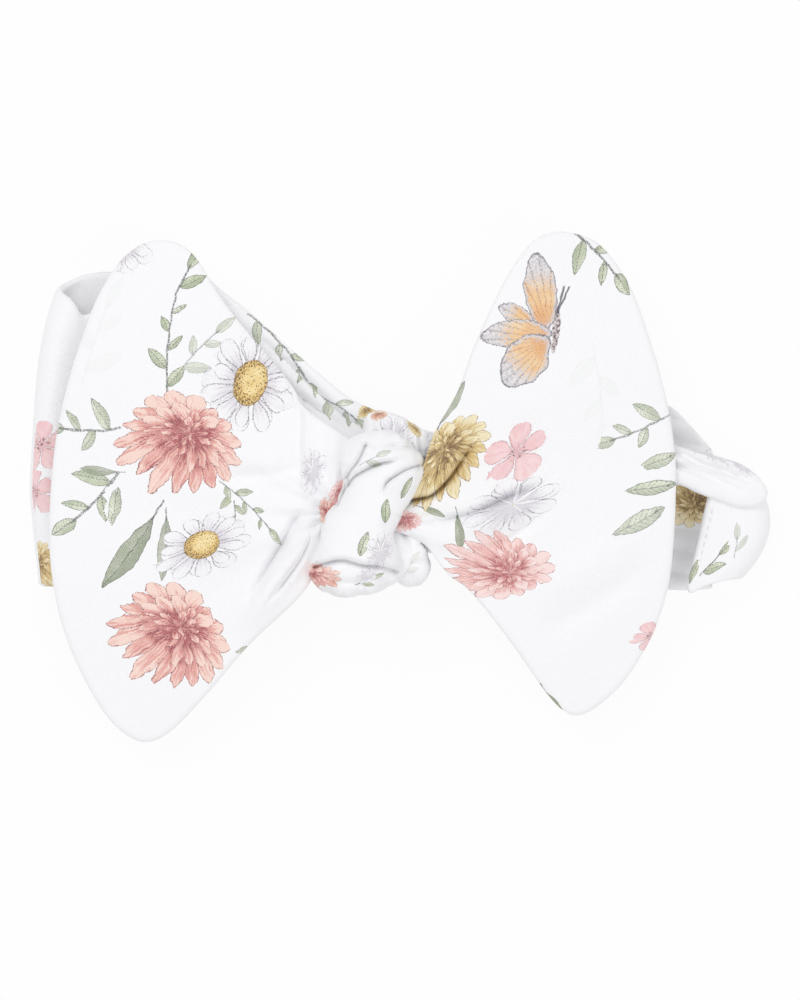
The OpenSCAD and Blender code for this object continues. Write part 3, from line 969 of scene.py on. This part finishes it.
def loop_path():
    """Stations round the flattened loop: X, Z, lower edge, upper edge and which part each is in."""
    arc = np.linspace(0, math.pi, 22)[1:-1]
    stations = []
    for x in np.arange(FLARE_START, right_fold_x, STATION):
        low, high = np.interp(x, FLARE_X, FLARE_LOW), np.interp(x, FLARE_X, FLARE_HIGH)
        stations.append((x, front_z, low, high, FLARE))
    low, high = np.interp(right_fold_x, BACK_X, BACK_LOW), np.interp(right_fold_x, BACK_X, BACK_HIGH)
    for a in arc:
        x, z = right_fold_x + fold_r * math.sin(a), back_z + fold_r * (1 + math.cos(a))
        top = ROLL_FOOT + (high - ROLL_FOOT) * (a / math.pi)
        stations.append((x, z, low + 0.8 * math.sin(a), top, RIGHT_END))
    for x in np.arange(right_fold_x, left_fold_x, -STATION):
        stations.append((x, back_z, np.interp(x, BACK_X, BACK_LOW), np.interp(x, BACK_X, BACK_HIGH), BACK))
    low, high = np.interp(left_fold_x, BACK_X, BACK_LOW), np.interp(left_fold_x, BACK_X, BACK_HIGH)
    end = np.interp(left_fold_x, FRONT_LEFT_X, FRONT_LEFT_HIGH)
    for a in arc:
        x, z = left_fold_x - fold_r * math.sin(a), back_z + fold_r * (1 - math.cos(a))
        stations.append((x, z, low, high + (end - high) * (a / math.pi), LEFT_END))
    for x in np.arange(left_fold_x, knot[0] + 3, STATION):
        low, high = [np.interp(x, FRONT_LEFT_X, edge) for edge in (FRONT_LEFT_LOW, FRONT_LEFT_HIGH)]
        stations.append((x, front_z, low, high, FRONT))
    return np.array(stations)


def soften(values, passes):
    """Evens out a row of numbers, keeping its ends."""
    values = values.copy()
    for _ in range(passes):
        values[1:-1] = (values[:-2] + 2 * values[1:-1] + values[2:]) / 4
    return values


def bow_ends(x, y, part):
    """X of the band's points with the ends of the flattened loop bowed, and the left end leaning."""
    flare = part == FLARE
    edge_x = FLARE_EDGE[0] + (y - FLARE_EDGE[1]) * FLARE_SLANT
    edge_x += np.clip(-22.5 - y, 0, 5) ** 2 * 0.18
    on_flare = (x - x[0, 0]) / (right_fold_x - x[0, 0])
    x = np.where(flare, edge_x + (right_fold_x - edge_x) * on_flare, x)
    right = np.where(flare, on_flare, smooth(73, right_fold_x, x))
    x -= right * np.clip(0.0385 * (y + 8) ** 2, 0, 12)
    left = np.where(part == FRONT, smooth(72, -left_fold_x, -x), smooth(60, -left_fold_x, -x))
    upper = np.clip(y - 2, 0, 60)
    x += left * (0.06 * upper + 0.000113 * np.clip(y - 15, 0, 60) ** 3 + 0.10 * np.clip(-y - 2, 0, 30))
    return x


def wave_band(x, y, z, low, high, part):
    """Z of the band's points with soft waves, the bunched strand by the knot and the strand's folds."""
    flat = np.stack([x.ravel(), y.ravel()], axis=1)
    front = part == FRONT
    back = part == BACK
    middle = ((high + low) / 2)[:, None] + 2.0
    half = np.maximum((high - low)[:, None] / 2, 4)
    z = z + smooth(45, 12, -x) * front * 3.2 * np.clip(1 - ((y - middle) / half) ** 2, 0, 1)
    folds = ridge(flat, [(-38, 40), (-24, 27), (-13.5, 17), (-5, 12.5)], 1.0, -1.8, 0.5, 0.0)
    folds += ridge(flat, [(-34, 30), (-22, 20), (-8, 11)], 1.4, -1.4, 0.4, 0.0)
    folds += ridge(flat, [(-46, 46), (-28, 32), (-12, 18.5)], 2.0, 1.0, 0.4, 0.0)
    folds += ridge(flat, [(-60, 20), (-40, 12), (-14, 8)], 4.0, 1.0, 0.4, 0.2)
    z += folds.reshape(x.shape) * front
    z += front * 0.35 * np.sin(y / 7 + x / 15) * smooth(-84, -70, x)
    wrinkle = 0.45 * (1 + np.sin(y * TAU / 5.2 + 0.25 * x)) * smooth(45, 62, x) * smooth(83, 76, x)
    z += back * (wrinkle + 0.15 * (1 + np.sin(y / 6 + x / 11)))
    z += back * 1.4 * smooth(54, 66, x) * smooth(84, 76, x) * smooth(4, -6, y)
    z += (part == FLARE) * 0.35 * np.sin(y / 4.5)
    return z


def band_skins(centre, to_rim):
    """Both skins of the band, joined at its rim: points, faces with the outer ones first, and the places
    of those points among all the outer and inner ones."""
    columns, rows = to_rim.shape
    normal = np.cross(np.gradient(centre, axis=0), np.gradient(centre, axis=1))
    normal /= np.linalg.norm(normal, axis=2)[:, :, None]
    thick = BAND_THICK / 2 * round_rim(to_rim, BAND_RIM)[:, :, None]
    points = np.vstack([(centre + normal * thick).reshape(-1, 3), (centre - normal * thick).reshape(-1, 3)])
    index = np.arange(columns * rows).reshape(columns, rows)
    under = index + columns * rows
    for border in (np.s_[0, :], np.s_[-1, :], np.s_[:, 0], np.s_[:, -1]):
        under[border] = index[border]
    faces = []
    for skin, order in ((index, -1), (under, 1)):
        quads = np.stack([skin[:-1, :-1], skin[:-1, 1:], skin[1:, 1:], skin[1:, :-1]], axis=2).reshape(-1, 4)
        faces.append(quads[:, ::order])
    faces = np.vstack(faces)
    used = np.unique(faces)
    renumber = np.zeros(len(points), int)
    renumber[used] = np.arange(len(used))
    return points[used], renumber[faces], used


def print_band(piece, points, along, part):
    """Stamps the band, whose flat cloth has its length along the loop and its height across it."""
    vertex, _, face, _ = corners(piece)
    level = (np.bincount(face, weights=points[vertex, 2]) / 4)[face]
    stretches = np.isin(part, (RIGHT_END, LEFT_END))[vertex] & (level < stretch_high)
    outside = face < len(piece.data.polygons) // 2
    front_foot = along[part == FRONT].min()
    back_foot = along[part == BACK].min()

    def on_front(x):
        return front_foot + (x - left_fold_x)

    def on_back(x):
        return back_foot + (right_fold_x - x)

    stamp(piece, np.column_stack([along, points[:, 1]])[vertex], face, outside, {
        "bloom": [
            (on_front(-8), 17.5, 2.7, 2.1, 30, 1), (on_front(-85), -19, 7, 5, 100, 1),
            (on_back(40), -4, 13, 11, 20, 0.2), (on_back(-54), 24, 15, 12, 160, 2),
        ],
        "daisy": [(on_back(8), -2, 11, 11, 50, 0.5), (on_back(-62), -2, 12, 12, 10, 0.2)],
        "posy": [
            (on_front(-84.5), 10, 7.5, 7.5, 60, 0.6), (on_front(-86), -1, 6.5, 6.5, 10, 0.8),
            (on_back(-36), -6, 7, 7, 80, 0.1),
        ],
        "butterfly": [(on_back(-22), 4, 11, 11, 20, 0)],
        "sprig": [
            (on_front(-36), 41, 0.85, 0.85, -42, 3.15), (on_front(-19), 22, 0.62, 0.62, -32, 2.2),
            (on_front(-76), 30, 1, 1, 90, 2.95), (1.2, -22, 0.85, 0.85, 80, 0),
            (3.6, -22.5, 0.95, 0.95, 56, 1), (13, -17, 0.6, 0.6, 110, 1.5),
            (on_back(22), -16, 0.9, 0.9, 40, 2), (on_back(-34), 22, 1, 1, -60, 3),
            (on_back(-44), -12, 1, 1, 200, 2),
        ],
    }, {
        "bloom": [(on_back(69.0), -1.2, 8.5, 8.5, 200, 1), (on_front(-40), 12, 13, 13, 30, 0.2)],
        "daisy": [(on_back(80), 7, 9, 9, 30, 0.3), (on_back(40), 0, 11, 11, 30, 0.3)],
        "sprig": [(on_back(-30), 20, 1, 1, 30, 3)],
    }, bare=stretches)


def loop_band():
    """The whole band round the flattened loop, from its sewn end to the strand by the knot."""
    x, z, low, high, part = loop_path().T
    low, high = soften(low, 5), soften(high, 5)
    across = 0.5 - 0.5 * np.cos(np.linspace(0, math.pi, BAND_ROWS))
    across = 0.35 * across + 0.65 * np.linspace(0, 1, BAND_ROWS)
    travelled = np.cumsum(np.hypot(np.diff(x, prepend=x[0]), np.diff(z, prepend=z[0])))
    y = low[:, None] + (high - low)[:, None] * across
    x, z, part = [np.repeat(row[:, None], BAND_ROWS, axis=1) for row in (x, z, part)]
    x = bow_ends(x, y, part)
    z = wave_band(x, y, z, low, high, part)
    to_edge = np.minimum(y - y[:, :1], y[:, -1:] - y)
    to_rim = np.minimum(to_edge, np.minimum(travelled, travelled[-1] - travelled)[:, None])
    points, faces, used = band_skins(np.stack([x, y, z], axis=2), to_rim)
    piece = new_piece("loop_band", points, faces.tolist())
    along = np.repeat(travelled, BAND_ROWS)
    print_band(piece, points, np.tile(along, 2)[used], np.tile(part.ravel(), 2)[used])
    return piece


# ---- Rounded pieces of bunched cloth ------------------------------------------------------

NICK = 0.14          # share of a valley's depth that it draws the outline in by
NICK_WIDTH = 0.8
SHARP_WIDTH = 0.8    # folds narrower than this get finer tiles


def crease_sides(piece, centre, steep, depth):
    """Slanting creases round the sides of a bunched form. steep is 0 on its top and 1 at its rim."""
    mesh = piece.data
    places = np.zeros(len(mesh.vertices) * 3)
    mesh.vertices.foreach_get("co", places)
    places = places.reshape(-1, 3) / MM
    away = places[:, :2] - centre
    reach = np.linalg.norm(away, axis=1)
    bearing = np.arctan2(away[:, 1], away[:, 0])
    wave = np.sin(6 * bearing + 0.5 * places[:, 2] + 1.5 * np.sin(2 * bearing))
    shift = -depth * np.clip(wave, 0, 1) ** 3 * smooth(0.3, 0.8, steep)
    places[:, :2] += away * (shift / reach)[:, None]
    mesh.vertices.foreach_set("co", (places * MM).ravel())


def nicked(outline, folds):
    """The outline, drawn in where a valley reaches it."""
    inward = outline.mean(axis=0) - outline
    inward /= np.linalg.norm(inward, axis=1)[:, None]
    nick = np.zeros(len(outline))
    for kind, line, _, height, *_ in folds:
        if kind is ridge and height < 0:
            reach = near_line(outline, line)[0] / NICK_WIDTH
            nick = np.maximum(nick, NICK * -height * np.exp(-reach ** 2))
    return outline + inward * nick[:, None]


def rounded(name, outline, middle, top, bottom, spacing, folds, motifs, origin, depth):
    """Closed swelling form over an outline: middle height, rise and fall, less its folds. depth is how much
    cloth goes down its steep sides."""
    origin = np.array(origin)[:2]
    outline = nicked(curve_through(np.array(outline), spacing * 1.2, closed=True), folds) + origin
    sharp = [np.array(line) + origin for _, line, width, *_ in folds if width < SHARP_WIDTH]
    points, triangles, distance = tile(outline, spacing, sharp)
    swell = inflate(triangles, distance)
    p = points - origin
    rise = 1 - (1 - swell) ** 1.35
    creases = sum(kind(p, *details) for kind, *details in folds)
    creases = np.clip(creases, -0.5 * rise * (top + bottom), 3 * rise)
    piece = closed_plate(name, points, triangles, distance, middle + rise * top + creases,
                         middle - rise * bottom - 0.5 * creases)
    nearest = np.argmin(np.linalg.norm(points[:, None] - outline[None], axis=2), axis=1)
    outward = outline[nearest] - points
    outward /= np.maximum(np.linalg.norm(outward, axis=1), 0.01)[:, None]
    steep = 1 - swell
    above = p + outward * (depth * steep ** 2)[:, None]
    below = p + outward * (depth * (2 - steep ** 2))[:, None]
    vertex, _, face, _ = corners(piece)
    flat = np.vstack([above, below[distance > 0]])
    stamp(piece, flat[vertex], face, np.ones(len(face), bool), motifs)
    crease_sides(piece, outline.mean(axis=0), np.concatenate([steep, steep[distance > 0]]), depth * 0.1)
    return piece


def knot_wrap():
    """Smooth belly of the knot, pulled over from the upper right to the lower left."""
    outline = [
        (-5.2, 17), (-7.4, 11), (-7.2, 6), (-10.9, -1.0), (-12, -4.5), (-12.4, -8), (-14.8, -13.5),
        (-14.4, -16), (-11.5, -18.9), (-7, -20.3), (-1.5, -19.9), (2.7, -18.6), (6.3, -16.1), (7, -12),
        (5.4, -6), (7.2, -1), (10.6, 5), (12.4, 11), (9.5, 15.4), (6.5, 18), (2.5, 19),
    ]
    pleat = [(-1.4, 16), (-3.4, 11.7), (-6, 8.1), (-10, 1)]
    second = [(7, 12), (1.2, 10.9), (-2.4, 9.1), (-5, 7.1), (-9.5, -0.5)]
    third = [(12.4, 11), (8.4, 9.6), (5.3, 7.8), (3.2, 6), (2.2, 2)]
    tuck = [(-14.5, -13.5), (-11, -12.2), (-7, -11.4), (-2.4, -12.6), (2.2, -13), (6.8, -14.5)]
    folds = [
        (lip, pleat, 3, -2.2, 0.25, 0.05, 0.1),
        (ridge, pleat, 0.5, -2.6, 0.05, 0.1),
        (lip, second, 4, -2.0, 0.25, 0.2, 0.1),
        (ridge, second, 0.5, -3.4, 0.2, 0.1),
        (ridge, [(10, 14.5), (5.3, 15.2), (1.2, 14.4)], 0.6, -2.2, 0.05, 0.5),
        (ridge, third, 0.5, -3.6, 0.05, 0.4),
        (lip, third, 4, 1.8, 0.3, 0.1, 0.5),
        (ridge, [(8, 15), (5, 12), (0, 7)], 1.6, 0.8, 0.2, 0.5),
        (ridge, tuck, 0.5, -4.4, 0.05, 0.1),
        (lip, tuck, 5, 2.4, 0.3, 0.05, 0.1),
        (ridge, [(-15, -15.5), (-6, -16.8), (2, -16.4)], 0.8, -1.2, 0.05, 0.4),
        (ridge, [(-10.5, -20), (-9, -17), (-9.4, -14)], 0.7, -1.8, 0.0, 0.4),
        (ridge, [(-3, -21), (-2.6, -18), (-4, -15)], 0.7, -1.6, 0.0, 0.4),
        (ridge, [(4.4, -18.6), (2.4, -16.4), (0, -15)], 0.7, -1.8, 0.0, 0.4),
        (ridge, [(7, -6), (4, -4), (2, -1)], 1.0, -1.5, 0.0, 0.5),
    ]
    motifs = {
        "bloom": [(-20.4, -17.6, 14.5, 6, 8, 0.15)],
        "daisy": [(2.2, -9.4, 5.2, 4, 60, 1.3), (-1, -15.2, 3.2, 2.2, 20, 1.1)],
        "sprig": [
            (-2.6, -9.8, 0.82, 0.82, 68, 0), (3.2, -2.2, 0.78, 0.78, 86, 0),
            (7.6, 3.2, 0.8, 0.8, 58, 0), (-3, 10.5, 0.55, 0.55, 28, 1.45),
            (-4, -17.8, 0.5, 0.5, 22, 1.1),
        ],
    }
    top = knot_high[2] - knot[2] - 0.6
    bottom = knot[2] - knot_low[2] - 0.4
    return rounded("knot_wrap", outline, knot[2] - 0.5, top, bottom, 0.5, folds, motifs, knot, 8.0)


def knot_lobe():
    """End of the wrap that is tucked in below the right ear."""
    outline = [
        (5, -2), (9, -4), (12, -7.5), (13.7, -12), (13.2, -15.3), (11.3, -17.5), (8.3, -17.9), (5.6, -16.3),
        (3.6, -11), (3.6, -6),
    ]
    folds = [
        (ridge, [(7, -3), (8.5, -9), (8.6, -13)], 0.7, -1.4, 0.05, 0.5),
        (ridge, [(14, -11), (11, -12.4), (7.5, -12)], 0.7, -1.2, 0.0, 0.4),
        (ridge, [(10, -18.5), (9.4, -15.5), (10, -13)], 0.7, -1.2, 0.0, 0.5),
    ]
    motifs = {
        "sprig": [(7, -16, 0.5, 0.5, 60, 1.75)],
    }
    return rounded("knot_lobe", outline, knot[2] - 4.5, 7.0, 6.0, 0.5, folds, motifs, knot, 6.0)


def knot_back_folds():
    """Gathered back of the knot, seen over its top."""
    outline = [
        (-2.2, 19), (-1.2, 22.6), (1.1, 23.6), (4.5, 23), (8.1, 21.6), (11.7, 19.2), (14.2, 18.2),
        (14.6, 15.5), (12, 12), (6, 11), (0, 13),
    ]
    folds = [(ridge, [(x, 24 - 0.35 * x), (x + 0.3, 19), (x + 0.8, 13)], 0.5, -1.0, 0.1, 0.1)
             for x in (0.6, 2.4, 4.3, 6.4, 8.6, 10.8)]
    motifs = {
        "bloom": [(1.4, 22.8, 2.8, 2, 20, 0.7), (9.8, 19.8, 3, 1.7, -60, 1)],
        "daisy": [(5, 16, 7.6, 6, 80, 1.3)],
    }
    return rounded("knot_back_folds", outline, knot[2] - 6.5, 5.0, 4.6, 0.45, folds, motifs, knot, 3.0)


def right_strand_roll():
    """Right strand, bunched into two tubes from the knot to the end of the loop."""
    outline = [
        (-4, 3), (-2, 10), (5, 13), (14, 12.5), (30, 11.5), (48, 11.5), (60, 11.0), (66, 9.6), (72, 8.0),
        (78.7, 6.1), (82.7, 4.0), (85.5, 1.2), (86.6, -1.4), (84.9, -4.0), (81, -4.8), (76, -3.6), (70, -1.4),
        (64, 0.6), (50, -1.5), (30, -3), (14, -3), (2, -1),
    ]
    upper = [(6, 7), (30, 7.5), (56, 9.5), (64.9, 8.4), (70.5, 5.6), (79.2, 2.8), (83.9, 0.2)]
    lower = [(6, 2), (30, 2.5), (60, 5.4), (70.7, 3.4), (79, -0.4), (84.2, -1.8)]
    folds = [
        (ridge, upper, 0.55, -3.6, 0.05, 0.12),
        (ridge, lower, 0.7, -2.4, 0.05, 0.25),
    ]
    motifs = {
        "bloom": [(50, 5, 8, 8, 10, 0.2)],
        "daisy": [(73, 8.8, 9, 2.6, -24, 1.4), (80.5, 5.6, 5, 2, -40, 1.2)],
        "sprig": [(20, 4, 1, 1, 10, 3)],
    }
    level = front_z + 1.0
    return rounded("right_strand_roll", outline, level, 3.6, 2.2, 0.6, folds, motifs, (0, 0), 2.0)


# ---- Stitches -----------------------------------------------------------------------------

STITCHES = 9
THREAD_RADIUS = 0.11
THREAD_SIDES = 8
STITCH_RINGS = ((0.12, 0.35), (0.2, 0.85), (0.4, 1.0), (0.6, 0.85), (0.68, 0.35))   # share of pitch, girth
SEAM_START = (1.2, -2.5)     # from the top of the sewn end
SEAM_HEIGHT = 17.5
THREAD_LIFT = 0.02


def stitch_line():
    """Dashes of thread along the sewn end of the band."""
    start = np.array(FLARE_EDGE) + SEAM_START
    end = start + (-SEAM_HEIGHT * FLARE_SLANT, -SEAM_HEIGHT)
    pitch = (end - start) / STITCHES
    level = strand_high[2] + THREAD_LIFT
    points, faces = [], []
    for i in range(STITCHES):
        for j, (share, girth) in enumerate(STITCH_RINGS):
            middle = start + pitch * (i + share)
            ring = len(points)
            for k in range(THREAD_SIDES):
                a = TAU * k / THREAD_SIDES
                n = (k + 1) % THREAD_SIDES
                points.append((middle[0] + THREAD_RADIUS * girth * math.cos(a), middle[1],
                               level + THREAD_RADIUS * girth * math.sin(a)))
                if j:
                    faces.append((ring - THREAD_SIDES + k, ring - THREAD_SIDES + n, ring + n, ring + k))
            if j == 0:
                faces.append(tuple(ring + k for k in range(THREAD_SIDES))[::-1])
        faces.append(tuple(ring + k for k in range(THREAD_SIDES)))
    return new_piece("flare_stitches", points, faces)


# ---- Stage --------------------------------------------------------------------------------

FRAME_HEIGHT = 235.0
CAMERA_HEIGHT = 1500.0
CAMERA_Y = -3.0
SENSOR = 36.0
FLOOR_SIZE = 3.0       # metres from its middle to a side
FLOOR_DROP = 0.0002    # metres below the object


def camera():
    """Looks straight down from high up, so that the object keeps its proportions."""
    data = bpy.data.cameras.new("camera")
    data.sensor_fit = "AUTO"
    data.sensor_width = SENSOR
    subject = front_z + 4
    data.lens = SENSOR * (CAMERA_HEIGHT - subject) / FRAME_HEIGHT
    data.clip_end = 20
    view = bpy.data.objects.new("camera", data)
    view.location = (0, CAMERA_Y * MM, CAMERA_HEIGHT * MM)
    bpy.context.scene.collection.objects.link(view)
    bpy.context.scene.camera = view


def lamp(name, place, size, power):
    data = bpy.data.lights.new(name, "AREA")
    data.shape = "DISK"
    data.size = size
    data.energy = power
    made = bpy.data.objects.new(name, data)
    made.location = place
    made.rotation_euler = (-Vector(place)).to_track_quat("-Z", "Y").to_euler()
    bpy.context.scene.collection.objects.link(made)


def seen_directly(g):
    """1 for rays from the camera, or seen in gloss or through glass."""
    path = g.node("LightPath")
    kinds = ("Is Camera Ray", "Is Glossy Ray", "Is Transmission Ray")
    seen, glossy, through = [Field(g, path.outputs[kind]) for kind in kinds]
    return g.most(seen, g.most(glossy, through))


def world():
    made = bpy.data.worlds.new("studio")
    made.use_nodes = True
    bpy.context.scene.world = made
    g = Graph(made)
    background = g.tree.nodes["Background"]
    background.inputs["Color"].default_value = (1, 1, 1, 1)
    g.feed(background.inputs["Strength"], g.blend(0.73, 1.0, seen_directly(g)))


def floor():
    places = [(x * FLOOR_SIZE, y * FLOOR_SIZE, 0) for x, y in ((-1, -1), (1, -1), (1, 1), (-1, 1))]
    mesh = bpy.data.meshes.new("floor")
    mesh.from_pydata(places, [], [(0, 1, 2, 3)])
    made = bpy.data.objects.new("floor", mesh)
    made.location.z = -FLOOR_DROP
    bpy.context.scene.collection.objects.link(made)
    material, g, shader = new_material("floor", {})
    g.tree.nodes.remove(shader)
    diffuse = g.node("BsdfDiffuse")
    diffuse.inputs["Color"].default_value = linear(246, 246, 247)
    glow = g.node("Emission")
    glow.inputs["Color"].default_value = (1, 1, 1, 1)
    mix = g.node("MixShader")
    g.feed(mix.inputs[0], seen_directly(g) * 0.92)
    g.tree.links.new(diffuse.outputs[0], mix.inputs[1])
    g.tree.links.new(glow.outputs[0], mix.inputs[2])
    g.tree.links.new(mix.outputs[0], g.tree.nodes["Material Output"].inputs[0])
    mesh.materials.append(material)


# ---- Assembly -----------------------------------------------------------------------------

bpy.context.scene.view_settings.view_transform = "Standard"
camera()
world()
floor()
lamp("key", (-0.5, 0.65, 1.3), 0.7, 4.8)
lamp("fill", (0.7, -0.55, 1.3), 0.9, 2.9)

jersey = printed_jersey()
ears = {"left": left_ear(), "right": right_ear()}
band = loop_band()
wrap, lobe, back_folds = knot_wrap(), knot_lobe(), knot_back_folds()
roll = right_strand_roll()
stitches = stitch_line()

for piece in (*ears.values(), band, wrap, lobe, back_folds, roll):
    piece.data.materials.append(jersey)
stitches.data.materials.append(thread_material())

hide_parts("left_ear_front_ply", "left_ear_back_ply", "left_ear_seam", "left_ear_root",
            "left_neck")
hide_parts("right_ear_front_ply", "right_ear_back_ply", "right_ear_seam", "right_ear_root",
            "right_neck")
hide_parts("back_outer_ply", "back_inner_ply", "left_fold_outer_ply", "left_fold_inner_ply",
            "right_fold_outer_ply", "right_fold_inner_ply", "left_strand", "left_gather", "right_flare")
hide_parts("right_strand", "right_gather")
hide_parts("knot_front_wrap", "knot_core")
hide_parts("knot_lower_lobe")
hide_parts("knot_back_wrap")
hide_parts("closing_stitches")

for piece in (wrap, lobe, back_folds, roll, stitches):
    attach(piece, "front")
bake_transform(ears["left"], "front", "left_ear", start=((left_hinge[0] + 4) * MM, 0, root_z * MM),
         end=((left_hinge[0] - 4) * MM, 0, root_z * MM))
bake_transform(ears["right"], "front", "right_ear", start=((right_hinge[0] - 4) * MM, 0, root_z * MM),
         end=((right_hinge[0] + 4) * MM, 0, root_z * MM))
stretch_low * MM
stretch_high * MM
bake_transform(band)
